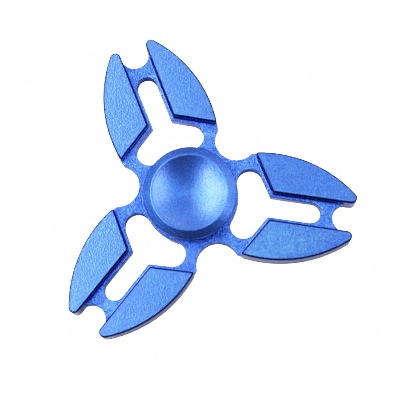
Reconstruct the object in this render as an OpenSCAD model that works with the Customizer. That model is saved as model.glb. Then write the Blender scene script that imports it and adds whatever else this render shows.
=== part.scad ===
// Three-claw fidget spinner: a milled claw frame turning on a small ball bearing between two finger caps.
// Millimetres. +Z is the spin axis, and z = 0 is the plane that the lower cap's rim rests on.
// Arm 1 points along +Y; the others follow every 120 degrees clockwise.

/* [Claw frame] */
// Radius of the circle that the claw tips reach
spinner_r = 37.5; // [37:0.1:38]
// Thickness of the raised pads, face to face
pad_t = 7.3; // [6.5:0.1:8]
// Thickness of the thin web between the pads
web_t = 3.2; // [2.8:0.1:3.6]
// Width of the chamfer around each pad's face
pad_chamfer = 0.3; // [0.2:0.05:0.4]
// Radius of the raised hub round the bearing
hub_r = 9.2; // [8.8:0.1:9.8]
// Thickness of the raised hub
hub_t = 5.2; // [4.9:0.1:5.8]
// Chamfer on the hub's outer edges and on the mouths of its bore
hub_chamfer = 0.3; // [0.1:0.05:0.4]

/* [Claws] */
// Width of the channel between the two pads of a claw
channel_w = 6.2; // [5.8:0.1:6.6]
// Radius of the rounded claw tips
tip_r = 1.3; // [1.1:0.1:1.5]
// Radius of the bowed outer flank of a claw
flank_r = 29; // [28:0.5:31]
// Distance of the flank's centre out along the arm
flank_x = 18.1; // [17.5:0.1:18.8]
// Distance from the spin axis to the inner corner of a pad
pad_corner_x = 18.4; // [18:0.1:19]
// Direction of a pad's base edge, measured from the arm
base_angle = 121.5; // [119:0.5:123]
// Distance from the spin axis to the centre of the round notch between the tips
tip_notch_x = 35.6; // [35:0.1:36]
// Radius of the round notch between the tips
tip_notch_r = 3.2; // [3.15:0.05:3.4]
// Distance from the spin axis to the centre of the round notch between two arms
side_notch_x = 16.7; // [16.5:0.1:17.1]
// Radius of the round notch between two arms
side_notch_r = 4.8; // [4.4:0.1:5]
// Rounding of the corner where a flank meets a side notch
web_corner_r = 0.4; // [0.2:0.1:0.6]

/* [Y slots] */
// Width of the web that shows as a ledge along the pads
ledge_w = 0.85; // [0.7:0.05:1]
// Distance from the spin axis to the centre of the slot's round outer end
slot_end_x = 27.3; // [26:0.1:28]
// Radius of the hub ring that the slots stop at
ring_r = 10.87; // [10.7:0.01:11.1]
// Direction of the centre of a branch's round end, measured from the arm
branch_angle = 21.5; // [20:0.5:23]

/* [Bearing] */
// Outside diameter of the outer ring, a standard 1/2 inch
bearing_od = 12.7; // [12.7]
// Bore of the inner ring, a standard 1/4 inch
bearing_id = 6.35; // [6.35]
// Width of the bearing, a standard 3/16 inch
bearing_w = 4.76; // [4.76]
// Diameter of each ball
ball_d = 2; // [1.8:0.1:2]
// Number of balls
ball_count = 10; // [10]
// Radial play between a ball and the bottom of each groove
ball_play = 0.02; // [0.01:0.01:0.04]
// Radius of the inner ring's outer land
inner_land_r = 4.15; // [4.1:0.05:4.2]
// Radius of the outer ring's inner land
outer_land_r = 5.4; // [5.3:0.05:5.5]
// Thickness of each shield
shield_t = 0.2; // [0.15:0.05:0.3]
// Thickness of each snap ring
snap_t = 0.25; // [0.2:0.05:0.3]
// Open angle of each snap ring, in degrees
snap_gap = 24; // [15:1:40]

/* [Caps] */
// Overall height across both cap rims
total_h = 12.8; // [12.4:0.1:13.4]
// Outside radius of a cap
cap_r = 10.5; // [10.2:0.1:10.8]
// Outside radius of the flat rim that the bevel starts from
rim_r = 8.75; // [8.6:0.05:8.9]
// Radius of the finger dish
dish_r = 8.4; // [8.2:0.05:8.5]
// Depth of the finger dish
dish_depth = 1.3; // [1:0.1:1.5]
// Drop of the wide bevel between the rim and the side wall
bevel_drop = 0.65; // [0.5:0.05:0.8]
// Height of the upright side wall
wall_h = 1; // [0.8:0.1:1.1]
// Size of the chamfer under the side wall
under_chamfer = 0.4; // [0.2:0.1:0.5]
// Radius of the shoulder that bears on the inner ring
shoulder_r = 4; // [3.8:0.05:4.05]
// Diameter of the stud that screws the caps together
stud_d = 3.7; // [3.4:0.1:4]
// Length of the stud from the lower cap's shoulder
stud_len = 4; // [3:0.1:4.2]

/* [Hidden] */
BALLS = [for (i = [1:ball_count]) str("ball_", i < 10 ? "0" : "", i)];
$fn = 96;

anodised = "royalblue";
steel = "silver";
arm_count = 3;
reach = 60;                                   // longer than anything it has to cut or cover

// Claw outline, worked out in the frame of one arm: x runs out along the arm, y across it.
channel_y = channel_w / 2;
tip_c = [sqrt((spinner_r - tip_r) ^ 2 - (channel_y + tip_r) ^ 2), channel_y + tip_r];
flank_c = [flank_x, tip_c.y - sqrt((flank_r - tip_r) ^ 2 - (tip_c.x - flank_x) ^ 2)];
tip_dir = atan2(tip_c.y - flank_c.y, tip_c.x - flank_c.x);

// Base edge of a pad: the line at base_off along base_n, which points from the hub into the pad.
base_n = [cos(base_angle - 90), sin(base_angle - 90)];
base_off = base_n * [pad_corner_x, channel_y];

// Corner of the web between a flank and a side notch: its rounding touches both circles.
side_notch_c = side_notch_x * [cos(60), sin(60)];
notch_offset = side_notch_c - flank_c;
notch_dir = notch_offset / norm(notch_offset);
flank_reach = flank_r - web_corner_r;
notch_reach = side_notch_r + web_corner_r;
corner_along = (norm(notch_offset) ^ 2 + flank_reach ^ 2 - notch_reach ^ 2) / (2 * norm(notch_offset));
corner_aside = sqrt(flank_reach ^ 2 - corner_along ^ 2);
kite_size = 1.5;                              // passes the sharp corner, in roundings
web_corner_c = flank_c + corner_along * notch_dir + corner_aside * [notch_dir.y, -notch_dir.x];
flank_touch = web_corner_c + web_corner_r * (web_corner_c - flank_c) / flank_reach;
notch_touch = web_corner_c + web_corner_r * (side_notch_c - web_corner_c) / notch_reach;

// Y slot: the pads' edges moved in by the ledge.
slot_y = channel_y - ledge_w;
branch_off = base_off - ledge_w;
slot_corner = [(branch_off - base_n.y * slot_y) / base_n.x, slot_y];
branch_turn = cos(branch_angle - (base_angle - 90));
branch_r = (branch_off - ring_r * branch_turn) / (1 + branch_turn);
branch_c = (ring_r + branch_r) * [cos(branch_angle), sin(branch_angle)];

// Fill between the arms, out to where the flanks meet the notches.
fill_r = 17;
fill_angle = 43;

// Bearing
ball_r = ball_d / 2;
pitch_r = (bearing_od + bearing_id) / 4;
groove_ratio = 1.06;                          // groove's radius to a ball's
groove_r = groove_ratio * ball_r;
pocket_play = 0.05;
land_gap = 0.22;                              // retainer to each land
shield_gap = 0.08;                            // shield to the inner ring
ring_chamfer = 0.15;
snap_depth = 0.15;
snap_w = 0.5;
shield_seat = 0.5;                            // width of the shields' seats
shield_seat_r = outer_land_r + shield_seat;
snap_inset = 0.2;                             // bearing's face to each snap ring
snap_z = bearing_w / 2 - snap_inset - snap_t;
shield_z = snap_z - shield_t;
crown_t = 0.3;                                // retainer's ring over its pockets
wrap = 0.45;                                  // how far the pockets pass the balls' middles, in ball radii
retainer_top = ball_r + pocket_play + crown_t;
retainer_bottom = -wrap * ball_r;

// Caps
cap_under = total_h / 2 - bevel_drop - wall_h - under_chamfer;
dish_sphere_r = (dish_r ^ 2 + dish_depth ^ 2) / (2 * dish_depth);
post_play = 0.01;
post_r = bearing_id / 2 - post_play;
post_end = 0.1;                               // gap between the upper cap's post and the lower cap
thread_play = 0.02;
thread_room = 0.4;                            // space past the end of the stud
thread_depth = stud_len + thread_room;

// Lifts what is drawn round the bearing's centre up to its height above the resting plane.
module at_centre() {
    translate([0, 0, total_h / 2]) children();
}

// Repeats an arm-frame shape on all three arms.
module each_arm() {
    for (i = [0 : arm_count - 1]) {
        rotate(90 - 360 * i / arm_count) children();
    }
}

// Both halves of a shape that is mirrored across the arm.
module both_sides() {
    children();
    mirror([0, 1]) children();
}

// Both faces of a shape that is mirrored across the frame's middle plane.
module both_faces() {
    children();
    mirror([0, 0, 1]) children();
}

// Corner region beyond the tip's round end, bounded by its two tangent points.
module tip_window() {
    translate(tip_c) polygon([[0, 0], [0, -reach], [reach, -reach], [reach, reach * tan(tip_dir)]]);
}

// Corner region beyond the rounding between a flank and a side notch: a kite past the sharp corner.
module web_corner_window() {
    to_flank = kite_size * (flank_touch - web_corner_c);
    to_notch = kite_size * (notch_touch - web_corner_c);
    translate(web_corner_c) polygon([[0, 0], to_flank, to_flank + to_notch, to_notch]);
}

// Whole claw seen from above: two flanks, rounded tips and the notch between them.
module claw_outline() {
    difference() {
        intersection() {
            translate(flank_c) circle(r = flank_r);
            mirror([0, 1]) translate(flank_c) circle(r = flank_r);
            translate([0, -reach / 2]) square(reach);
        }
        both_sides() tip_window();
        intersection() {
            union() {
                translate([tip_notch_x, 0]) circle(r = tip_notch_r);
                translate([tip_notch_x, -channel_w]) square([reach, 2 * channel_w]);
            }
            translate([0, -channel_y]) square([reach, channel_w]);
        }
    }
    both_sides() intersection() {
        translate(tip_c) circle(r = tip_r);
        tip_window();
    }
}

// Y-shaped slot of one arm: a round-ended stem and two round-ended branches.
module y_slot() {
    difference() {
        union() {
            translate([0, -slot_y]) square([slot_end_x, 2 * slot_y]);
            both_sides()
                polygon([[0, 0], branch_c, branch_c + branch_r * base_n, slot_corner, [slot_corner.x, 0]]);
        }
        circle(r = ring_r);
    }
    translate([slot_end_x, 0]) circle(r = slot_y);
    both_sides() translate(branch_c) circle(r = branch_r);
}

// Web outline: the claws, the fill between them, less the notches and slots.
module web_outline() {
    difference() {
        union() {
            each_arm() claw_outline();
            polygon([
                for (i = [0 : arm_count - 1], s = [1, -1])
                    let (a = 90 - 360 * i / arm_count + s * fill_angle) fill_r * [cos(a), sin(a)]
            ]);
        }
        each_arm() translate(side_notch_c) circle(r = side_notch_r);
        each_arm() y_slot();
        each_arm() both_sides() web_corner_window();
    }
    each_arm() both_sides() intersection() {
        translate(web_corner_c) circle(r = web_corner_r);
        web_corner_window();
    }
}

// Cross-section of a pad at an edge that lies at d = r, chamfered at both faces.
module edge_profile(r) {
    half = pad_t / 2;
    polygon([
        [0, -half],
        [r - pad_chamfer, -half],
        [r, -half + pad_chamfer],
        [r, half - pad_chamfer],
        [r - pad_chamfer, half],
        [0, half]
    ]);
}

// Solid behind a straight edge that runs along x at y = 0, on its +y side.
module behind_edge() {
    translate([0, reach, 0]) rotate([90, 0, 90]) mirror([1, 0]) linear_extrude(reach) edge_profile(reach);
}

// Solid of radius r with the same edge, turned through the given angle.
module round_edge(r, from, sweep) {
    rotate([0, 0, from]) rotate_extrude(angle = sweep) edge_profile(r);
}

// One pad, left of its arm, through both faces.
module pad() {
    difference() {
        intersection() {
            translate(flank_c) round_edge(flank_r, 0, 360);
            translate([0, channel_y, 0]) behind_edge();
            translate(base_off * base_n) rotate(base_angle - 180)
                translate([-reach / 2, 0, 0]) behind_edge();
        }
        linear_extrude(reach, center = true) tip_window();
    }
    translate(tip_c) round_edge(tip_r, -90, tip_dir + 90);
}

// Raised hub with chamfered edges.
module hub() {
    half = hub_t / 2;
    rotate_extrude() polygon([
        [0, -half],
        [hub_r - hub_chamfer, -half],
        [hub_r, -half + hub_chamfer],
        [hub_r, half - hub_chamfer],
        [hub_r - hub_chamfer, half],
        [0, half]
    ]);
}

// Bore that the bearing is pressed into, with a chamfer at each mouth.
module bearing_bore() {
    cylinder(d = bearing_od, h = reach, center = true);
    both_faces() translate([0, 0, hub_t / 2 - hub_chamfer])
        cylinder(r1 = bearing_od / 2, r2 = bearing_od / 2 + 2 * hub_chamfer, h = 2 * hub_chamfer);
}

module claw_frame() {
    color(anodised) at_centre() difference() {
        union() {
            linear_extrude(web_t, center = true) web_outline();
            each_arm() both_sides() pad();
            hub();
        }
        bearing_bore();
    }
}

// Outside profile of a cap above the bearing's centre, without its dish.
module cap_profile() {
    top = total_h / 2;
    polygon([
        [0, bearing_w / 2],
        [shoulder_r, bearing_w / 2],
        [shoulder_r, cap_under],
        [cap_r - under_chamfer, cap_under],
        [cap_r, cap_under + under_chamfer],
        [cap_r, top - bevel_drop],
        [rim_r, top],
        [0, top]
    ]);
}

// Cap with its finger dish, for the upper side.
module cap_body() {
    difference() {
        rotate_extrude() cap_profile();
        translate([0, 0, total_h / 2 - dish_depth + dish_sphere_r]) sphere(r = dish_sphere_r);
    }
}

// Upper cap: its post passes through the inner ring and is tapped for the stud.
module upper_cap() {
    color(anodised) at_centre() difference() {
        union() {
            cap_body();
            translate([0, 0, -bearing_w / 2 + post_end]) cylinder(r = post_r, h = bearing_w - post_end);
        }
        translate([0, 0, -bearing_w / 2]) cylinder(d = stud_d + 2 * thread_play, h = thread_depth);
    }
}

// Lower cap: the same body turned over, with the stud.
module lower_cap() {
    color(anodised) at_centre() union() {
        mirror([0, 0, 1]) cap_body();
        translate([0, 0, -bearing_w / 2]) cylinder(d = stud_d, h = stud_len);
    }
}

// Outer ring: ball groove, seats for the shields and grooves for the snap rings.
module bearing_outer_ring() {
    w = bearing_w / 2;
    color(steel) at_centre() rotate_extrude() difference() {
        polygon([
            [outer_land_r, -shield_z],
            [outer_land_r, shield_z],
            [shield_seat_r, shield_z],
            [shield_seat_r, w],
            [bearing_od / 2 - ring_chamfer, w],
            [bearing_od / 2, w - ring_chamfer],
            [bearing_od / 2, -w + ring_chamfer],
            [bearing_od / 2 - ring_chamfer, -w],
            [shield_seat_r, -w],
            [shield_seat_r, -shield_z]
        ]);
        translate([pitch_r + ball_r + ball_play - groove_r, 0]) circle(r = groove_r);
        for (side = [1, -1]) {
            translate([shield_seat_r, side * (snap_z + snap_t / 2)])
                square([2 * snap_depth, snap_t], center = true);
        }
    }
}

// Inner ring: plain bore, ball groove outside.
module bearing_inner_ring() {
    w = bearing_w / 2;
    bore = bearing_id / 2;
    color(steel) at_centre() rotate_extrude() difference() {
        polygon([
            [bore + ring_chamfer, -w],
            [inner_land_r, -w],
            [inner_land_r, w],
            [bore + ring_chamfer, w],
            [bore, w - ring_chamfer],
            [bore, -w + ring_chamfer]
        ]);
        translate([pitch_r - ball_r - ball_play + groove_r, 0]) circle(r = groove_r);
    }
}

module ball(i) {
    color("gainsboro") at_centre() rotate(360 * (i - 1) / ball_count)
        translate([pitch_r, 0, 0]) sphere(r = ball_r);
}

// Crown retainer: a ring whose pockets snap over the balls from above.
module ball_retainer() {
    inner = inner_land_r + land_gap;
    color("darkgray") at_centre() difference() {
        translate([0, 0, retainer_bottom]) rotate_extrude()
            translate([inner, 0]) square([outer_land_r - land_gap - inner, retainer_top - retainer_bottom]);
        for (i = [1:ball_count]) {
            rotate(360 * (i - 1) / ball_count) translate([pitch_r, 0, 0]) sphere(r = ball_r + pocket_play);
        }
    }
}

// Shield of the upper side: a flat washer that stops just short of the inner ring.
module shield() {
    inner = inner_land_r + shield_gap;
    translate([0, 0, shield_z]) difference() {
        cylinder(r = shield_seat_r, h = shield_t);
        cylinder(r = inner, h = reach, center = true);
    }
}

// Snap ring of the upper side: a ring with a gap over arm 1, sprung into the outer ring's groove.
module snap_ring() {
    outer = shield_seat_r + snap_depth;
    translate([0, 0, snap_z]) rotate([0, 0, 90 + snap_gap / 2]) rotate_extrude(angle = 360 - snap_gap)
        translate([outer - snap_w, 0]) square([snap_w, snap_t]);
}

module upper_shield() {
    color(steel) at_centre() shield();
}

module lower_shield() {
    color(steel) at_centre() mirror([0, 0, 1]) shield();
}

module upper_snap_ring() {
    color("dimgray") at_centre() snap_ring();
}

module lower_snap_ring() {
    color("dimgray") at_centre() mirror([0, 0, 1]) snap_ring();
}

claw_frame();
upper_cap();
lower_cap();
bearing_outer_ring();
bearing_inner_ring();
ball_retainer();
upper_shield();
lower_shield();
upper_snap_ring();
lower_snap_ring();
for (i = [1:ball_count]) {
    ball(i);
}
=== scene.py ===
"""Three-claw fidget spinner: detailed pieces, materials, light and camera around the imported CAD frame.

Every piece but the ball retainer is rebuilt as a clean mesh, with the small features that the CAD leaves
out: broken edges, fillets at the foot of the pads, rounded corners and the caps' thread. Sizes of the object
are in millimetres, and each finished mesh is scaled to metres. Lights and floor are in metres.
"""

import math

import bmesh
import bpy
from mathutils import Matrix, Vector
from mathutils.geometry import delaunay_2d_cdt


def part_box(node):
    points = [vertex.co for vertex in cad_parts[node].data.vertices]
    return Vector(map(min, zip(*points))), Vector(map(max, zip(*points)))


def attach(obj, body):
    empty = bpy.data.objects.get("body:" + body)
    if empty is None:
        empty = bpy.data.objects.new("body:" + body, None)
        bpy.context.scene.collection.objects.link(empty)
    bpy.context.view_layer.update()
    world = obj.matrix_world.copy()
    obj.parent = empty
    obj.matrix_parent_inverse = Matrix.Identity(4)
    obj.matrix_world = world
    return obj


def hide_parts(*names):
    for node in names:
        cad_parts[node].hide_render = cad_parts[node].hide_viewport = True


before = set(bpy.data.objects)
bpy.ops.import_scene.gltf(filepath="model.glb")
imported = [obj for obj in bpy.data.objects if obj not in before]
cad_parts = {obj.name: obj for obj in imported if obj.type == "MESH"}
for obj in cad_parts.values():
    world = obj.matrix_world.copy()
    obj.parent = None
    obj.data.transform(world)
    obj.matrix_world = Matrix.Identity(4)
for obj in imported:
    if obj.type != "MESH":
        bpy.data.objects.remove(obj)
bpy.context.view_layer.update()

MM = 0.001
TOTAL_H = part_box("upper_cap")[1].z / MM
MID_H = TOTAL_H / 2

# Claw frame, in the frame of one arm: x runs out along the arm, y across it, z up from the middle plane
PAD_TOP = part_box("claw_frame")[1].z / MM - MID_H
WEB_TOP = 1.6
SPINNER_R = 37.5
CHANNEL_Y = 3.1                 # half the channel between the two pads of a claw
TIP_R = 1.3
FLANK_R = 29
FLANK_X = 18.1
PAD_CORNER_X = 18.4
BASE_ANGLE = 121.5              # direction of a pad's base edge, from the arm
TIP_NOTCH_X, TIP_NOTCH_R = 35.6, 3.2
SIDE_NOTCH_X, SIDE_NOTCH_R = 16.7, 4.8
LEDGE_W = 0.85
SLOT_END_X = 27.3
RING_R = 10.87
BRANCH_ANGLE = 21.5
HUB_R, HUB_TOP, HUB_CHAMFER = 9.2, 2.6, 0.3
BORE_R = 6.35
PAD_CHAMFER = 0.3
ARM_TURN = 90                   # direction of the first arm, from +X
ARM_COUNT = 3

# Caps: radii and heights above the middle plane
CAP_R, RIM_R, DISH_R = 10.5, 8.75, 8.4
DISH_DEPTH = 1.3
BEVEL_DROP, WALL_H, UNDER_CHAMFER = 0.65, 1, 0.4
SHOULDER_R = 4
STUD_R, STUD_LEN, THREAD_PITCH, THREAD_DEPTH = 1.85, 4, 0.5, 0.12
THREAD_PLAY = 0.02              # between the stud and its bore, on the radius
POST_R, POST_END, TAP_DEPTH = 3.165, 0.1, 4.4
MOUTH_LEN = 0.3                 # plain stretch before the thread, and height of the bore's cone
THREAD_START, THREAD_RUNOUT = 0.4, 0.3      # from the ends of the stud to the ends of its thread
DISH_EDGE = 0.12                # from the last ring of the dish to its sharp edge, which is rounded

# Bearing
BALL_R, PITCH_R, BALL_COUNT = 1, 4.7625, 10
GROOVE_R, BALL_PLAY = 1.06, 0.02
BEARING_HALF_W = 2.38
RING_OUT_R, RING_BORE_R = 6.35, 3.175
INNER_LAND_R, OUTER_LAND_R = 4.15, 5.4
RING_CHAMFER = 0.15
SNAP_T, SNAP_W, SNAP_DEPTH, SNAP_GAP = 0.25, 0.5, 0.15, 24
SNAP_LIP = 0.2                  # ring's side wall outside the snap ring
SHIELD_T, SHIELD_SEAT_R, SHIELD_GAP = 0.2, 5.9, 0.08
SHIELD_DRAW = 0.1               # how far the shield's inner border is pressed in
SHIELD_FLAT, SHIELD_STEP = 0.45, 0.6        # from that border to the start and the end of the slope
SNAP_Z = BEARING_HALF_W - SNAP_LIP - SNAP_T
SHIELD_Z = SNAP_Z - SHIELD_T

# Small features of the claw frame
PAD_INNER_R = 0.35              # rounding of a pad's corner at the channel
PAD_HEEL_R = 0.45               # rounding of a pad's corner at the flank
WEB_CORNER_R = 0.4              # rounding of the web's corners
CHAMFER_BLEND = 0.1             # rounding where the chamfer meets its two faces
PAD_FILLET = 0.3                # fillet at the foot of a pad
HUB_FILLET = 0.4
WEB_BREAK = 0.13                # broken edge of the web
FILLET_FADES = 3, 1.5           # lengths over which a pad's fillet grows from nothing, and shrinks to it
NOTCH_FADE, SIDE_FADE = 2, 1.2  # the same for the broken edges of the two kinds of notch

# Meshes
WELD = 2e-4                     # points closer than this are one
SHARP = 40                      # degrees between faces from which an edge is shaded as sharp
LONGEST_STRAIGHT = 0.6
BLEND_STEPS, BREAK_STEPS, FILLET_STEPS = 3, 3, 4
LATHE_STEPS, DISH_STEPS, GROOVE_STEPS = 192, 27, 12
THREAD_STEPS = 8                # rings of points in one pitch
SNAP_STEPS = 160
BALL_STEPS = 60


# ---------------------------------------------------------------- outlines: rows of (point, outward normal)

def polar2(degrees):
    return Vector((math.cos(math.radians(degrees)), math.sin(math.radians(degrees))))


def heading(vector):
    return math.degrees(math.atan2(vector.y, vector.x))


def arc(center, radius, start, end, step=0.25, hollow=False):
    """Rows along an arc. The solid is inside its circle, or outside it if hollow. step is in millimetres."""
    count = max(3, math.ceil(math.radians(abs(end - start)) * radius / step))
    rows = []
    for i in range(count + 1):
        out = polar2(start + (end - start) * i / count)
        rows.append((center + out * radius, -out if hollow else out))
    return rows


def join(*stretches):
    """Stretches end to end, without repeating a shared point, with long straights cut into short pieces."""
    rows = []
    for stretch in stretches:
        for point, normal in stretch:
            if rows:
                start, before = rows[-1]
                gap = (point - start).length
                if gap < 1e-5:
                    continue
                count = math.ceil(gap / LONGEST_STRAIGHT)
                for i in range(1, count):
                    rows.append((start.lerp(point, i / count), before.lerp(normal, i / count).normalized()))
            rows.append((point, normal))
    return rows


def reflected(rows, axis):
    """Rows mirrored across the line through the origin in the direction axis, in reverse order."""
    def flip(v):
        return 2 * v.dot(axis) * axis - v
    return [(flip(p), flip(n)) for p, n in reversed(rows)]


def corner_center(line_a, line_b):
    """Point where two lines meet; each is (normal, offset along it)."""
    (na, a), (nb, b) = line_a, line_b
    det = na.x * nb.y - na.y * nb.x
    return Vector(((a * nb.y - b * na.y) / det, (b * na.x - a * nb.x) / det))


ACROSS = Vector((0, 1))
ALONG = Vector((1, 0))
ORIGIN = Vector((0, 0))
BASE_N = polar2(BASE_ANGLE - 90)                # points from the hub into the pad
BASE_OFF = BASE_N.dot(Vector((PAD_CORNER_X, CHANNEL_Y)))
TIP_C = Vector((math.sqrt((SPINNER_R - TIP_R) ** 2 - (CHANNEL_Y + TIP_R) ** 2), CHANNEL_Y + TIP_R))
FLANK_C = Vector((FLANK_X, TIP_C.y - math.sqrt((FLANK_R - TIP_R) ** 2 - (TIP_C.x - FLANK_X) ** 2)))
TIP_DIR = heading(TIP_C - FLANK_C)
NOTCH_C = polar2(60) * SIDE_NOTCH_X

heel_depth = BASE_OFF + PAD_HEEL_R - BASE_N.dot(FLANK_C)
heel_reach = math.sqrt((FLANK_R - PAD_HEEL_R) ** 2 - heel_depth ** 2)
HEEL_C = FLANK_C + BASE_N * heel_depth + polar2(BASE_ANGLE) * heel_reach
HEEL_DIR = heading(HEEL_C - FLANK_C)


def pad_foot():
    """Edge of a pad that rises from the web: notch, channel, inner corner, base edge and heel."""
    inner = corner_center((ACROSS, CHANNEL_Y + PAD_INNER_R), (BASE_N, BASE_OFF + PAD_INNER_R))
    notch = TIP_NOTCH_X - math.sqrt(TIP_NOTCH_R ** 2 - CHANNEL_Y ** 2)
    return join(
        [(Vector((notch, CHANNEL_Y)), -ACROSS)],
        arc(inner, PAD_INNER_R, 270, BASE_ANGLE + 90, 0.08),
        arc(HEEL_C, PAD_HEEL_R, BASE_ANGLE + 90, HEEL_DIR, 0.08),
    )


def pad_rim():
    """Edge of a pad that is flush with the web's: heel, flank, tip, and along the channel to the notch."""
    return join(
        arc(FLANK_C, FLANK_R, HEEL_DIR, TIP_DIR, 0.6),
        arc(TIP_C, TIP_R, TIP_DIR, -90, 0.15),
        [pad_foot()[0]],
    )


def side_notch():
    """Web's edge between the heels of two neighbouring arms."""
    apart = NOTCH_C - FLANK_C
    ra, rb = FLANK_R - WEB_CORNER_R, SIDE_NOTCH_R + WEB_CORNER_R
    along = (apart.length ** 2 + ra ** 2 - rb ** 2) / (2 * apart.length)
    aside = math.sqrt(ra ** 2 - along ** 2)
    axis = apart.normalized()
    center = FLANK_C + axis * along + Vector((axis.y, -axis.x)) * aside
    flank_dir = heading(center - FLANK_C)
    notch_dir = heading(center - NOTCH_C)
    half = join(
        arc(FLANK_C, FLANK_R, HEEL_DIR, flank_dir, 0.1),
        arc(center, WEB_CORNER_R, flank_dir, notch_dir + 180, 0.1),
        arc(NOTCH_C, SIDE_NOTCH_R, notch_dir, -120, 0.3, hollow=True),
    )
    return join(half, reflected(half, polar2(60)))


def tip_notch():
    """Web's edge between the two tips of a claw, from the lower pad to the upper one."""
    edge = math.degrees(math.asin(CHANNEL_Y / TIP_NOTCH_R))
    return arc(Vector((TIP_NOTCH_X, 0)), TIP_NOTCH_R, 180 + edge, 180 - edge, 0.2, hollow=True)


def slot():
    """Closed edge of the Y slot."""
    y = CHANNEL_Y - LEDGE_W
    branch_off = BASE_OFF - LEDGE_W
    turn = math.cos(math.radians(BRANCH_ANGLE - (BASE_ANGLE - 90)))
    branch_r = (branch_off - RING_R * turn) / (1 + turn)
    branch_c = polar2(BRANCH_ANGLE) * (RING_R + branch_r)
    corner = corner_center((ACROSS, y + WEB_CORNER_R), (BASE_N, branch_off + WEB_CORNER_R))
    half = join(
        arc(Vector((SLOT_END_X, 0)), y, 0, 90, 0.25, hollow=True),
        arc(corner, WEB_CORNER_R, 270, BASE_ANGLE + 90, 0.08),
        arc(branch_c, branch_r, BASE_ANGLE - 90, BRANCH_ANGLE + 180, 0.25, hollow=True),
        arc(ORIGIN, RING_R, BRANCH_ANGLE, 0, 0.3),
    )
    return join(half, reflected(half, ALONG))[:-1]


# ---------------------------------------------------------------- surfaces

def ease(x):
    """Smooth step from 0 to 1 as x goes from 0 to 1."""
    x = min(max(x, 0), 1)
    return x * x * (3 - 2 * x)


def tapered(rows, size, start, end):
    """The given size at each row, fading to nothing over the given lengths at the two ends."""
    runs = [0]
    for (p, _), (q, _) in zip(rows, rows[1:]):
        runs.append(runs[-1] + (q - p).length)
    return [size * ease(s / start) * ease((runs[-1] - s) / end) for s in runs]


def quarter(steps):
    """Angles from 0 to a right angle, in radians."""
    return [math.radians(90 * i / steps) for i in range(steps + 1)]


def blend(a, b, c):
    """Short curve from a to c with its corner at b."""
    rows = []
    for i in range(BLEND_STEPS + 1):
        t = i / BLEND_STEPS
        rows.append(a.lerp(b, t).lerp(b.lerp(c, t), t))
    return rows


def rounded(corners, closed=False):
    """Profile through corners of (x, y, rounding), where a short curve replaces each rounded corner."""
    rows = []
    for i, (x, y, size) in enumerate(corners):
        here = Vector((x, y))
        if not size:
            rows.append(here)
            continue
        before, after = Vector(corners[i - 1][:2]), Vector(corners[(i + 1) % len(corners)][:2])
        start, end = (before - here).normalized() * size, (after - here).normalized() * size
        rows += blend(here + start, here, here + end)
    return rows + rows[:1] if closed else rows


def chamfer_profile(size, rounding):
    """(inset, drop) along a chamfer whose two corners are rounded, from the wall to the top face."""
    far = size + 2 * rounding
    return rounded([(0, far, 0), (0, size, rounding), (size, 0, rounding), (far, 0, 0)])[1:-1]


class Skin:
    """A mesh that is built up from rings of points and welded at the end."""

    def __init__(self):
        self.bm = bmesh.new()

    def ring(self, points):
        return [self.bm.verts.new(p) for p in points]

    def strip(self, below, above, material=0, closed=False):
        count = len(below)
        for i in range(count if closed else count - 1):
            j = (i + 1) % count
            face = self.bm.faces.new((below[i], below[j], above[j], above[i]))
            face.material_index = material

    def strips(self, rings, material=0, closed=False):
        made = [self.ring(points) for points in rings]
        for below, above in zip(made, made[1:]):
            self.strip(below, above, material, closed)

    def everything(self):
        return self.bm.verts[:] + self.bm.edges[:] + self.bm.faces[:]

    def copy(self, geometry):
        """Copies geometry in its place. Returns the new vertices."""
        made = bmesh.ops.duplicate(self.bm, geom=geometry)["geom"]
        return [item for item in made if isinstance(item, bmesh.types.BMVert)]

    def mirror(self, signs):
        """Adds a mirrored copy of all that is there. signs are what its x, y and z are multiplied by."""
        bmesh.ops.scale(self.bm, verts=self.copy(self.everything()), vec=signs)

    def repeat_round(self, count):
        """Adds turned copies of all that is there, so that there are count of it round the spin axis."""
        geometry = self.everything()
        for i in range(1, count):
            spin = Matrix.Rotation(-math.tau * i / count, 3, "Z")
            bmesh.ops.rotate(self.bm, verts=self.copy(geometry), matrix=spin)

    def piece(self, name, materials, body, replaced):
        """Welds the mesh, lifts it to its height and makes it a piece that rides on a body."""
        bm = self.bm
        bmesh.ops.remove_doubles(bm, verts=bm.verts[:], dist=WELD)
        bmesh.ops.dissolve_degenerate(bm, edges=bm.edges[:], dist=1e-5)
        bmesh.ops.recalc_face_normals(bm, faces=bm.faces[:])
        for face in bm.faces:
            face.smooth = True
        bmesh.ops.translate(bm, verts=bm.verts[:], vec=(0, 0, MID_H))
        bmesh.ops.scale(bm, verts=bm.verts[:], vec=(MM, MM, MM))
        mesh = bpy.data.meshes.new(name)
        bm.to_mesh(mesh)
        bm.free()
        for material in materials:
            mesh.materials.append(material)
        mesh.set_sharp_from_angle(angle=math.radians(SHARP))
        made = bpy.data.objects.new(name, mesh)
        bpy.context.scene.collection.objects.link(made)
        weighted = made.modifiers.new("flat faces lead", "WEIGHTED_NORMAL")
        weighted.keep_sharp = True
        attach(made, body)
        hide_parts(replaced)


# Places in the claw frame's list of materials. Blasted are the pads' tops and the hub; the web's top face has
# a coarser blast and is painted darker than the pads, as painted shade of the recess between the pads and the
# cap.
BLASTED, WALL, CHAMFER, WEB_GRAIN_AND_SHADE = range(4)


def at_height(rows, inset, z):
    """Points of an outline moved in by inset, one number or one per row, at height z, likewise."""
    insets = inset if isinstance(inset, list) else [inset] * len(rows)
    heights = z if isinstance(z, list) else [z] * len(rows)
    return [(*(p - n * d), h) for (p, n), d, h in zip(rows, insets, heights)]


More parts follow.
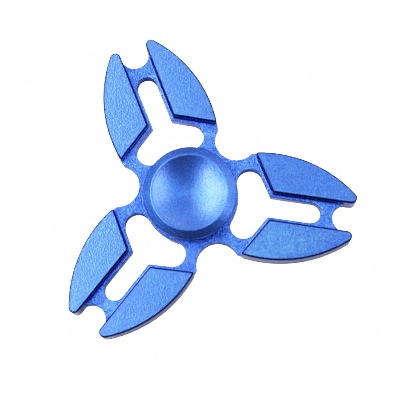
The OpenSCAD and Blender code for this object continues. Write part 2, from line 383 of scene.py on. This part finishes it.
def web_wall(skin, rows, breaks, closed=False):
    """Wall of the web from the middle plane up, and its broken edge. Returns the top face's border."""
    rings = [at_height(rows, 0, 0), at_height(rows, 0, [WEB_TOP - b for b in breaks])]
    for angle in quarter(BREAK_STEPS)[1:]:
        inset = [b * (1 - math.cos(angle)) for b in breaks]
        height = [WEB_TOP - b + b * math.sin(angle) for b in breaks]
        rings.append(at_height(rows, inset, height))
    skin.strips(rings, WALL, closed=closed)
    return rings[-1]


def foot_wall(skin, rows, fillets, top):
    """Fillet and wall of a pad, up to the chamfer. Returns the border of the web's top face."""
    rings = []
    for angle in quarter(FILLET_STEPS):
        inset = [-f * (1 - math.sin(angle)) for f in fillets]
        height = [WEB_TOP + f * (1 - math.cos(angle)) for f in fillets]
        rings.append(at_height(rows, inset, height))
    rings.append(at_height(rows, 0, top))
    skin.strips(rings, WALL)
    return rings[0]


def flat_face(skin, border, holes, z):
    """Triangles over a flat region with holes."""
    points, loops = [], []
    for loop in [border] + holes:
        loops.append(list(range(len(points), len(points) + len(loop))))
        points += [Vector((p[0], p[1])) for p in loop]
    result = delaunay_2d_cdt(points, [], loops, 2, 1e-6)
    verts = skin.ring([(*p, z) for p in result[0]])
    for triangle in result[2]:
        skin.bm.faces.new([verts[i] for i in triangle]).material_index = WEB_GRAIN_AND_SHADE


def lathe(skin, profile, steps=LATHE_STEPS):
    """Turns a profile of (radius, height) points round the spin axis. Returns the first ring's points.

    A radius may be a function of the angle in degrees, as on a thread.
    """
    rings = []
    for radius, height in profile:
        ring = []
        for i in range(steps):
            angle = 360 * i / steps
            reach = radius(angle) if callable(radius) else radius
            ring.append((*(polar2(angle) * reach), height))
        rings.append(ring)
    skin.strips(rings, closed=True)
    return rings[0]


def claw_frame(materials):
    """The upper half is built pad, arm, hub and web, and then mirrored to the underside."""
    skin = Skin()
    foot, rim = pad_foot(), pad_rim()
    fillets = tapered(foot, PAD_FILLET, *FILLET_FADES)
    shoulder = PAD_TOP - PAD_CHAMFER - CHAMFER_BLEND

    # One pad, left of its arm: the free wall, the chamfer all round and the top face
    foot_border = foot_wall(skin, foot, fillets, shoulder)
    skin.strips([at_height(rim, 0, z) for z in (0, WEB_TOP, shoulder)], WALL)
    whole = join(foot, rim)[:-1]
    slope = chamfer_profile(PAD_CHAMFER, CHAMFER_BLEND)
    chamfer_rings = [at_height(whole, inset, PAD_TOP - drop) for inset, drop in slope]
    skin.strips(chamfer_rings, CHAMFER, closed=True)
    skin.bm.faces.new(skin.ring(chamfer_rings[-1])).material_index = BLASTED

    # The other pad of the claw, and the web's edges that belong to this arm
    skin.mirror((1, -1, 1))
    notch, side, hole = tip_notch(), side_notch(), slot()
    notch_border = web_wall(skin, notch, tapered(notch, WEB_BREAK, NOTCH_FADE, NOTCH_FADE))
    side_border = web_wall(skin, side, tapered(side, WEB_BREAK, SIDE_FADE, SIDE_FADE))
    slot_border = web_wall(skin, hole, [WEB_BREAK] * len(hole), closed=True)
    mirrored = [(x, -y, z) for x, y, z in reversed(foot_border)]
    border = mirrored + notch_border[1:] + foot_border[1:] + side_border[1:]
    skin.bm.transform(Matrix.Rotation(math.radians(ARM_TURN), 4, "Z"))
    skin.repeat_round(ARM_COUNT)

    # Hub, from its fillet up over the chamfer and down the bore
    profile = []
    for angle in quarter(FILLET_STEPS):
        out, up = HUB_FILLET * (1 - math.sin(angle)), HUB_FILLET * (1 - math.cos(angle))
        profile.append((HUB_R + out, WEB_TOP + up))
    slope = chamfer_profile(HUB_CHAMFER, CHAMFER_BLEND)
    profile += [(HUB_R - inset, HUB_TOP - drop) for inset, drop in slope]
    profile += [(BORE_R + inset, HUB_TOP - drop) for inset, drop in reversed(slope)]
    hub_border = lathe(skin, profile + [(BORE_R, 0)])

    # Top face of the web
    outer, holes = [], [hub_border]
    for i in range(ARM_COUNT):
        spin = Matrix.Rotation(math.radians(ARM_TURN + 360 * i / ARM_COUNT), 3, "Z")
        outer += [spin @ Vector(p) for p in border[:-1]]
        holes.append([spin @ Vector(p) for p in slot_border])
    flat_face(skin, outer, holes, WEB_TOP)
    skin.mirror((1, 1, -1))
    skin.piece("claw_frame_skin", materials, "rotor", "claw_frame")


def thread(radius):
    """Profile of a helical thread along the stud. Stud and tapped bore share it, apart from their play."""
    low, high = THREAD_START - BEARING_HALF_W, STUD_LEN - THREAD_RUNOUT - BEARING_HALF_W
    count = math.ceil((high - low) / THREAD_PITCH * THREAD_STEPS)
    rows = []
    for k in range(count + 1):
        z = low + (high - low) * k / count
        fade = ease((z - low) / THREAD_PITCH) * ease((high - z) / THREAD_PITCH)

        def reach(angle, z=z, fade=fade):
            valley = abs(2 * ((z / THREAD_PITCH - angle / 360) % 1) - 1)
            return radius - THREAD_DEPTH * valley * fade
        rows.append((reach, z))
    return rows


def cap_outside():
    """Profile of a cap on the upper side: dish, rim, bevel, wall, underside and shoulder."""
    under = MID_H - BEVEL_DROP - WALL_H - UNDER_CHAMFER
    sphere_r = (DISH_R ** 2 + DISH_DEPTH ** 2) / (2 * DISH_DEPTH)
    dish = []
    for i in range(DISH_STEPS + 1):
        r = (DISH_R - DISH_EDGE) * i / DISH_STEPS
        dish.append((r, MID_H - DISH_DEPTH + sphere_r - math.sqrt(sphere_r ** 2 - r ** 2)))
    return dish + rounded([
        (*dish[-1], 0),
        (DISH_R, MID_H, 0.08),
        (RIM_R, MID_H, 0.1),
        (CAP_R, MID_H - BEVEL_DROP, 0.14),
        (CAP_R, under + UNDER_CHAMFER, 0.1),
        (CAP_R - UNDER_CHAMFER, under, 0.1),
        (SHOULDER_R, under, 0.25),
        (SHOULDER_R, BEARING_HALF_W, 0.1),
        (POST_R + 0.2, BEARING_HALF_W, 0),
    ])[1:]


def upper_cap(material):
    skin = Skin()
    bore_r = STUD_R + THREAD_PLAY
    post_end, bore_end = POST_END - BEARING_HALF_W, TAP_DEPTH - BEARING_HALF_W
    lathe(skin, cap_outside() + rounded([
        (POST_R, BEARING_HALF_W, 0),
        (POST_R, post_end, 0.2),
        (bore_r, post_end, 0.15),
        (bore_r, post_end + MOUTH_LEN, 0),
    ]) + thread(bore_r) + [(bore_r, bore_end), (0, bore_end + MOUTH_LEN)])
    skin.piece("upper_cap_skin", [material], "grip", "upper_cap")


def lower_cap(material):
    skin = Skin()
    stud_end = STUD_LEN - BEARING_HALF_W
    lathe(skin, [(r, -z) for r, z in cap_outside()] + rounded([
        (STUD_R, -BEARING_HALF_W, 0),
        (STUD_R, -BEARING_HALF_W + MOUTH_LEN, 0),
    ]) + thread(STUD_R) + rounded([
        (STUD_R, stud_end - 0.25, 0.05),
        (STUD_R - 0.25, stud_end, 0.05),
        (0, stud_end, 0),
    ]))
    skin.piece("lower_cap_skin", [material], "grip", "lower_cap")


def groove(land, center, side):
    """Ball groove in a ring's land, from below to above. side is 1 where it is cut outwards, else -1."""
    edge = math.acos(abs(land - center) / GROOVE_R)
    corners = []
    for i in range(GROOVE_STEPS + 1):
        angle = edge * (2 * i / GROOVE_STEPS - 1)
        corners.append((center + side * GROOVE_R * math.cos(angle), GROOVE_R * math.sin(angle), 0))
    return corners


def upside_down(corners):
    """The same corners below the middle plane, in reverse order."""
    return [(x, -y, size) for x, y, size in reversed(corners)]


def outer_ring(material):
    skin = Skin()
    w = BEARING_HALF_W
    upper = [
        (OUTER_LAND_R, SHIELD_Z, 0.05),
        (SHIELD_SEAT_R, SHIELD_Z, 0),
        (SHIELD_SEAT_R, SNAP_Z, 0),
        (SHIELD_SEAT_R + SNAP_DEPTH, SNAP_Z, 0),
        (SHIELD_SEAT_R + SNAP_DEPTH, SNAP_Z + SNAP_T, 0),
        (SHIELD_SEAT_R, SNAP_Z + SNAP_T, 0),
        (SHIELD_SEAT_R, w, 0.05),
        (RING_OUT_R - RING_CHAMFER, w, 0.05),
        (RING_OUT_R, w - RING_CHAMFER, 0.05),
    ]
    race = groove(OUTER_LAND_R, PITCH_R + BALL_R + BALL_PLAY - GROOVE_R, 1)
    lathe(skin, rounded(race + upper + upside_down(upper), closed=True))
    skin.piece("bearing_outer_ring_skin", [material], "rotor", "bearing_outer_ring")


def inner_ring(material):
    skin = Skin()
    w = BEARING_HALF_W
    upper = [
        (INNER_LAND_R, w, 0.08),
        (RING_BORE_R + RING_CHAMFER, w, 0.05),
        (RING_BORE_R, w - RING_CHAMFER, 0.05),
    ]
    race = groove(INNER_LAND_R, PITCH_R - BALL_R - BALL_PLAY + GROOVE_R, -1)
    lathe(skin, rounded(race + upper + upside_down(upper), closed=True))
    skin.piece("bearing_inner_ring_skin", [material], "grip", "bearing_inner_ring")


def shield(material, name, side):
    """Pressed washer: its inner border is drawn in a little towards the balls."""
    skin = Skin()
    inner = INNER_LAND_R + SHIELD_GAP
    low, high = SHIELD_Z, SHIELD_Z + SHIELD_T
    corners = [
        (inner, low - SHIELD_DRAW, 0.04),
        (inner + SHIELD_FLAT, low - SHIELD_DRAW, 0.08),
        (inner + SHIELD_STEP, low, 0.08),
        (SHIELD_SEAT_R, low, 0.04),
        (SHIELD_SEAT_R, high, 0.06),
        (inner + SHIELD_STEP, high, 0.08),
        (inner + SHIELD_FLAT, high - SHIELD_DRAW, 0.08),
        (inner, high - SHIELD_DRAW, 0.04),
    ]
    lathe(skin, [(r, side * z) for r, z in rounded(corners, closed=True)])
    skin.piece(name + "_skin", [material], "rotor", name)


def snap_ring(material, name, side):
    """Spring ring of rounded section, with an open gap over the first arm."""
    skin = Skin()
    outer = SHIELD_SEAT_R + SNAP_DEPTH
    section = rounded([
        (outer - SNAP_W, SNAP_Z, 0.06),
        (outer, SNAP_Z, 0.06),
        (outer, SNAP_Z + SNAP_T, 0.06),
        (outer - SNAP_W, SNAP_Z + SNAP_T, 0.06),
    ], closed=True)[:-1]
    rings = []
    for i in range(SNAP_STEPS + 1):
        out = polar2(ARM_TURN + SNAP_GAP / 2 + (360 - SNAP_GAP) * i / SNAP_STEPS)
        rings.append([(*(out * r), side * z) for r, z in section])
    skin.strips(rings, closed=True)
    for end in (rings[0], rings[-1]):
        skin.bm.faces.new(skin.ring(end))
    skin.piece(name + "_skin", [material], "rotor", name)


def ball(material, number):
    """Bearing ball on its place round the pitch circle."""
    skin = Skin()
    profile = [tuple(polar2(angle) * BALL_R) for angle in range(-90, 91, 360 // BALL_STEPS)]
    lathe(skin, profile, BALL_STEPS)
    place = polar2(360 * (number - 1) / BALL_COUNT) * PITCH_R
    bmesh.ops.translate(skin.bm, verts=skin.bm.verts[:], vec=(*place, 0))
    name = f"ball_{number:02d}"
    skin.piece(name + "_skin", [material], name, name)


# ---------------------------------------------------------------- camera and stage

CAMERA_AIM = Vector((1.7, -1.4, MID_H)) * MM
CAMERA_DISTANCE = 303.7 * MM
CAMERA_AZIMUTH, CAMERA_ELEVATION, CAMERA_ROLL = -101.1, 79.7, 21.8
CAMERA_LENS = 120.3
FULL_WHITE = 6.0                # brightness that the camera's response takes to full white
RESPONSE_STEPS = 24
LIGHT_DISTANCE = 0.9
FLOOR_REACH = 4.0
FLOOR_PAINT = (0.85, 0.85, 0.85, 1)
STUDIO_LOW, STUDIO_HIGH = (0.04, 0.04, 0.045, 1), (0.06, 0.06, 0.065, 1)
GLOW = 4.0                      # brightness of the floor and the studio to the camera alone

# A mix node has number and colour sockets of the same names, so its colour ones go by their places
MIX_FACTOR, MIX_A, MIX_B, MIX_RESULT = 0, 6, 7, 2


def polar(azimuth, elevation):
    """Unit vector towards a compass direction: azimuth from +X towards +Y, elevation above the floor."""
    a, e = math.radians(azimuth), math.radians(elevation)
    return Vector((math.cos(a) * math.cos(e), math.sin(a) * math.cos(e), math.sin(e)))


def make_camera():
    """Nearly overhead, leaning a little towards the lower edge of the picture and rolled."""
    back = polar(CAMERA_AZIMUTH, CAMERA_ELEVATION)
    roll = math.radians(CAMERA_ROLL)
    upright = (Vector((0, 1, 0)) - back * back.y).normalized()
    side = upright.cross(back)
    right = side * math.cos(roll) - upright * math.sin(roll)
    up = side * math.sin(roll) + upright * math.cos(roll)
    data = bpy.data.cameras.new("camera")
    data.sensor_width = 36
    data.lens = CAMERA_LENS
    data.clip_start, data.clip_end = 0.01, 20
    camera = bpy.data.objects.new("camera", data)
    turn = Matrix((right, up, back)).transposed().to_4x4()
    camera.matrix_world = Matrix.Translation(CAMERA_AIM + back * CAMERA_DISTANCE) @ turn
    bpy.context.scene.collection.objects.link(camera)
    bpy.context.scene.camera = camera


def set_response():
    """Camera's response: straight in the shadows, with a soft shoulder before white."""
    view = bpy.context.scene.view_settings
    view.view_transform = "Standard"
    view.use_curve_mapping = True
    mapping = view.curve_mapping
    mapping.white_level = (FULL_WHITE, FULL_WHITE, FULL_WHITE)
    curve = mapping.curves[3]
    for i in range(1, RESPONSE_STEPS):
        place = (i / RESPONSE_STEPS) ** 2
        x = place * FULL_WHITE
        curve.points.new(place, x / (1 + x ** 3) ** (1 / 3))
    mapping.update()


def softbox(name, azimuth, elevation, width, height, radiance):
    """Soft light that looks at the object from a compass direction.

    Width and height are in metres, and radiance is the brightness of its face.
    """
    data = bpy.data.lights.new(name, "AREA")
    data.shape = "RECTANGLE"
    data.size, data.size_y = width, height
    data.energy = radiance * width * height * math.pi
    light = bpy.data.objects.new(name, data)
    aim = Vector((0, 0, MID_H * MM))
    away = polar(azimuth, elevation)
    light.location = aim + away * LIGHT_DISTANCE
    light.rotation_euler = away.to_track_quat("Z", "Y").to_euler()
    bpy.context.scene.collection.objects.link(light)


def make_floor():
    """White floor. It glows to the camera alone, like a burnt-out background, so its glow lights nothing."""
    mesh = bpy.data.meshes.new("floor")
    r = FLOOR_REACH
    mesh.from_pydata([(-r, -r, 0), (r, -r, 0), (r, r, 0), (-r, r, 0)], [], [(0, 1, 2, 3)])
    floor = bpy.data.objects.new("floor", mesh)
    bpy.context.scene.collection.objects.link(floor)
    material = bpy.data.materials.new("floor")
    material.use_nodes = True
    nodes, links = material.node_tree.nodes, material.node_tree.links
    shader = nodes["Principled BSDF"]
    shader.inputs["Base Color"].default_value = FLOOR_PAINT
    shader.inputs["Roughness"].default_value = 0.9
    shader.inputs["Specular IOR Level"].default_value = 0
    shader.inputs["Emission Color"].default_value = (1, 1, 1, 1)
    seen = nodes.new("ShaderNodeLightPath").outputs["Is Camera Ray"]
    glow = nodes.new("ShaderNodeMath")
    glow.operation = "MULTIPLY"
    glow.inputs[1].default_value = GLOW
    links.new(seen, glow.inputs[0])
    links.new(glow.outputs[0], shader.inputs["Emission Strength"])
    mesh.materials.append(material)


def make_world():
    """Dim studio for the reflections. The camera sees it as white as the floor, so no horizon shows."""
    world = bpy.data.worlds.new("studio")
    bpy.context.scene.world = world
    world.use_nodes = True
    nodes, links = world.node_tree.nodes, world.node_tree.links
    background = nodes["Background"]
    coords = nodes.new("ShaderNodeTexCoord")
    split = nodes.new("ShaderNodeSeparateXYZ")
    ramp = nodes.new("ShaderNodeValToRGB")
    links.new(coords.outputs["Generated"], split.inputs[0])
    links.new(split.outputs["Z"], ramp.inputs[0])
    seen = nodes.new("ShaderNodeLightPath").outputs["Is Camera Ray"]
    mix = nodes.new("ShaderNodeMix")
    mix.data_type = "RGBA"
    mix.inputs[MIX_B].default_value = (GLOW, GLOW, GLOW, 1)
    links.new(seen, mix.inputs[MIX_FACTOR])
    links.new(ramp.outputs["Color"], mix.inputs[MIX_A])
    links.new(mix.outputs[MIX_RESULT], background.inputs["Color"])
    stops = ramp.color_ramp.elements
    stops[0].position, stops[0].color = 0.0, STUDIO_LOW
    stops[1].position, stops[1].color = 1.0, STUDIO_HIGH


make_camera()
make_floor()
make_world()
set_response()
softbox("left_box", 125, 62, 0.45, 0.22, 8.0)
softbox("left_strip", 164, 71, 0.27, 0.11, 14)
softbox("right_box", -12, 63, 0.45, 0.22, 5.9)
softbox("right_strip", 30, 52, 0.82, 0.10, 2.0)
softbox("overhead", 110, 76, 0.24, 0.24, 1.6)
softbox("far_wall", 60, 53, 1.30, 0.40, 0.92)


# ---------------------------------------------------------------- materials

class Finish:
    """A procedural metal. Every length in it is in millimetres on the object."""

    def __init__(self, name, coat=0.0, coat_roughness=0.1, coat_ior=1.5, anisotropy=0.0):
        self.material = bpy.data.materials.new(name)
        self.material.use_nodes = True
        self.tree = self.material.node_tree
        self.shader = self.tree.nodes["Principled BSDF"]
        self.set(self.shader, "Metallic", 1.0)
        self.set(self.shader, "Coat Weight", coat)
        self.set(self.shader, "Coat Roughness", coat_roughness)
        self.set(self.shader, "Coat IOR", coat_ior)
        self.set(self.shader, "Anisotropic", anisotropy)
        self.set(self.shader, "Anisotropic Rotation", 0.25)     # a quarter of a turn from the tangent
        self.place = self.tree.nodes.new("ShaderNodeTexCoord").outputs["Object"]

    def set(self, node, socket, value):
        """Gives a socket a number, a colour or another node's output."""
        if isinstance(value, bpy.types.NodeSocket):
            self.tree.links.new(value, node.inputs[socket])
        elif isinstance(value, tuple):
            node.inputs[socket].default_value = (*value, 1)
        elif value is not None:
            node.inputs[socket].default_value = value

    def noise(self, size, detail):
        """Soft blotches a size apart, with more fine detail the higher detail is."""
        node = self.tree.nodes.new("ShaderNodeTexNoise")
        self.set(node, "Vector", self.place)
        self.set(node, "Scale", 1 / (size * MM))
        self.set(node, "Detail", detail)
        return node.outputs["Fac"]

    def dimples(self, size):
        """Pits of bead blasting, a size apart: 0 in the middle of a pit, 1 between pits."""
        node = self.tree.nodes.new("ShaderNodeTexVoronoi")
        self.set(node, "Vector", self.place)
        self.set(node, "Scale", 1 / (size * MM))
        return self.remap(node.outputs["Distance"], 0, 1, 0.1, 0.75)

    def radius(self):
        """Distance from the spin axis."""
        flat = self.tree.nodes.new("ShaderNodeVectorMath")
        flat.operation = "MULTIPLY"
        flat.inputs[1].default_value = (1, 1, 0)
        self.set(flat, 0, self.place)
        length = self.tree.nodes.new("ShaderNodeVectorMath")
        length.operation = "LENGTH"
        self.set(length, 0, flat.outputs[0])
        return length.outputs["Value"]

    def height(self):
        """Height above the floor."""
        split = self.tree.nodes.new("ShaderNodeSeparateXYZ")
        self.set(split, 0, self.place)
        return split.outputs["Z"]

    def streaks(self, across, pitch):
        """Uneven cutter marks, a pitch apart, one after another in the direction in which across grows."""
        node = self.tree.nodes.new("ShaderNodeTexNoise")
        node.noise_dimensions = "1D"
        self.set(node, "W", across)
        self.set(node, "Scale", 1 / (pitch * MM))
        self.set(node, "Detail", 3.0)
        return node.outputs["Fac"]

    def remap(self, value, low, high, from_low=0.3, from_high=0.7):
        """A value stretched so that from_low becomes low and from_high becomes high, and clamped there."""
        node = self.tree.nodes.new("ShaderNodeMapRange")
        self.set(node, "Value", value)
        self.set(node, "From Min", from_low)
        self.set(node, "From Max", from_high)
        self.set(node, "To Min", low)
        self.set(node, "To Max", high)
        return node.outputs["Result"]

    def product(self, a, b):
        node = self.tree.nodes.new("ShaderNodeMath")
        node.operation = "MULTIPLY"
        self.set(node, 0, a)
        self.set(node, 1, b)
        return node.outputs[0]

    def mix(self, factor, a, b):
        """Colour a where factor is 0, colour b where it is 1."""
        node = self.tree.nodes.new("ShaderNodeMix")
        node.data_type = "RGBA"
        self.set(node, MIX_FACTOR, factor)
        self.set(node, MIX_A, a)
        self.set(node, MIX_B, b)
        return node.outputs[MIX_RESULT]

    def bump(self, height, depth, below=None):
        """Relief whose full height is depth."""
        node = self.tree.nodes.new("ShaderNodeBump")
        self.set(node, "Strength", 1.0)
        self.set(node, "Distance", depth * MM)
        self.set(node, "Height", height)
        self.set(node, "Normal", below)
        return node.outputs["Normal"]

    def edges(self):
        """How sharply the surface turns outward, from 0 on a flat face to 1 on an edge."""
        point = self.tree.nodes.new("ShaderNodeNewGeometry").outputs["Pointiness"]
        return self.remap(point, 0, 1, 0.5, 0.6)

    def finish(self, color, roughness, normal, tangent=False):
        """Joins the shader to its inputs. With tangent, its shine follows circles round the spin axis."""
        self.set(self.shader, "Base Color", color)
        self.set(self.shader, "Roughness", roughness)
        self.set(self.shader, "Normal", normal)
        self.set(self.shader, "Coat Normal", normal)
        if tangent:
            node = self.tree.nodes.new("ShaderNodeTangent")
            node.direction_type = "RADIAL"
            node.axis = "Z"
            self.set(self.shader, "Tangent", node.outputs[0])
        return self.material


BLUE = (0.085, 0.285, 1.0)
DEEP_BLUE = (0.015, 0.055, 0.70)
EVEN_BLUE = (0.036, 0.13, 0.9)
WORN_BLUE = (0.14, 0.40, 1.0)
# Dark navy of the pads' chamfers is painted shade: it stands in for the dark studio that these slopes reflect
CHAMFER_SHADE_NAVY = (0.008, 0.028, 0.30)
BEARING_GREY = (0.62, 0.63, 0.65)
BALL_GREY = (0.72, 0.73, 0.75)
PRESSED_GREY = (0.55, 0.56, 0.57)
SPRING_GREY = (0.30, 0.30, 0.31)

# Sizes of the marks on the metals
BLAST_SIZE, BLAST_SPECK = 0.34, 0.3     # pits of the bead blasting, and the patches in which they are deep
SOFT_GRAIN = 0.35                       # grain of the caps and of the blasted faces' shine
TURNING_PITCH = 0.09
MILLING_PITCH = 0.14


def blasted_aluminium(name, darkest, lightest, coat, depth):
    """Bead-blasted and anodised: tiny dimples that sparkle, slightly paler where edges have rubbed.

    The grain's shades run from darkest to lightest, both between 0, the deep blue, and 1, the bright one.
    """
    metal = Finish(name, coat=coat, coat_roughness=0.18, coat_ior=1.6)
    grain = metal.product(metal.dimples(BLAST_SIZE), metal.remap(metal.noise(BLAST_SPECK, 1), 0.4, 1))
    body = metal.mix(metal.remap(grain, darkest, lightest, 0.1, 0.75), DEEP_BLUE, BLUE)
    body = metal.mix(metal.remap(metal.noise(6, 2), 0, 0.06), body, DEEP_BLUE)
    wear = metal.product(metal.edges(), metal.remap(metal.noise(0.7, 3), 0.1, 0.7))
    color = metal.mix(wear, body, WORN_BLUE)
    rough = metal.remap(metal.noise(SOFT_GRAIN, 2), 0.29, 0.39)
    return metal.finish(color, rough, metal.bump(grain, depth))


def cut_aluminium(name, color, coat):
    """Milled and anodised: smoother than the blasted faces, with the cutter's lines along the walls."""
    metal = Finish(name, coat=coat, coat_roughness=0.12, coat_ior=1.7)
    lines = metal.streaks(metal.height(), MILLING_PITCH)
    marks = metal.product(lines, metal.remap(metal.noise(1.2, 2), 0.5, 1))
    tint = metal.mix(metal.remap(marks, 0, 0.1), color, BLUE)
    rough = metal.remap(marks, 0.2, 0.34)
    return metal.finish(tint, rough, metal.bump(marks, 0.006))


def turned_aluminium():
    """Turned on a lathe and anodised: fine rings with a soft grain over them."""
    metal = Finish("anodised_turned", coat=0.6, coat_roughness=0.15, coat_ior=1.6, anisotropy=0.5)
    grain = metal.dimples(SOFT_GRAIN)
    rings = metal.streaks(metal.radius(), TURNING_PITCH)
    body = metal.mix(metal.remap(grain, 0.2, 0.78, 0.1, 0.9), DEEP_BLUE, BLUE)
    color = metal.mix(metal.remap(rings, 0, 0.2), body, EVEN_BLUE)
    rough = metal.remap(rings, 0.28, 0.34)
    relief = metal.bump(rings, 0.0005, metal.bump(grain, 0.013))
    return metal.finish(color, rough, relief, tangent=True)


def ground_steel(name, color, roughness, ring_pitch, stain_size):
    """Steel with grinding rings round the axis and a little stain."""
    metal = Finish(name)
    rings = metal.streaks(metal.radius(), ring_pitch)
    stained = tuple(c * 0.82 for c in color)
    shade = metal.mix(metal.remap(metal.noise(stain_size, 3), 0, 1), color, stained)
    rough = metal.remap(rings, roughness * 0.8, roughness * 1.25)
    return metal.finish(shade, rough, metal.bump(rings, 0.002))


blasted = blasted_aluminium("anodised_blasted", 0.27, 0.9, 0.6, 0.026)
# The web's darker grain is partly a coarser, deeper blast and partly painted shade of the recessed web
# between the pads and the cap
web_grain_and_shade = blasted_aluminium("anodised_web_grain_and_shade", -0.15, 0.9, 0.2, 0.06)
wall = cut_aluminium("anodised_wall", EVEN_BLUE, 1.0)
# The chamfers get a near-black navy as painted shade, standing in for the dark reflection of the studio
chamfer = cut_aluminium("anodised_chamfer_painted_shade", CHAMFER_SHADE_NAVY, 0.2)
turned_blue = turned_aluminium()
ring_steel = ground_steel("bearing_steel", BEARING_GREY, 0.22, 0.05, 0.4)
ball_steel = ground_steel("ball_steel", BALL_GREY, 0.06, 0.2, 0.8)
pressed_steel = ground_steel("pressed_steel", PRESSED_GREY, 0.35, 0.12, 0.25)
spring_steel = ground_steel("spring_steel", SPRING_GREY, 0.4, 0.1, 0.2)

claw_frame([blasted, wall, chamfer, web_grain_and_shade])
upper_cap(turned_blue)
lower_cap(turned_blue)
outer_ring(ring_steel)
inner_ring(ring_steel)
for half, side in (("upper", 1), ("lower", -1)):
    shield(pressed_steel, half + "_shield", side)
    snap_ring(spring_steel, half + "_snap_ring", side)
for number in range(1, BALL_COUNT + 1):
    ball(ball_steel, number)

# The retainer keeps its CAD shape, and gets a steel that is as detailed as the others
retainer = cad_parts["ball_retainer"]
retainer.data.materials.clear()
retainer.data.materials.append(pressed_steel)
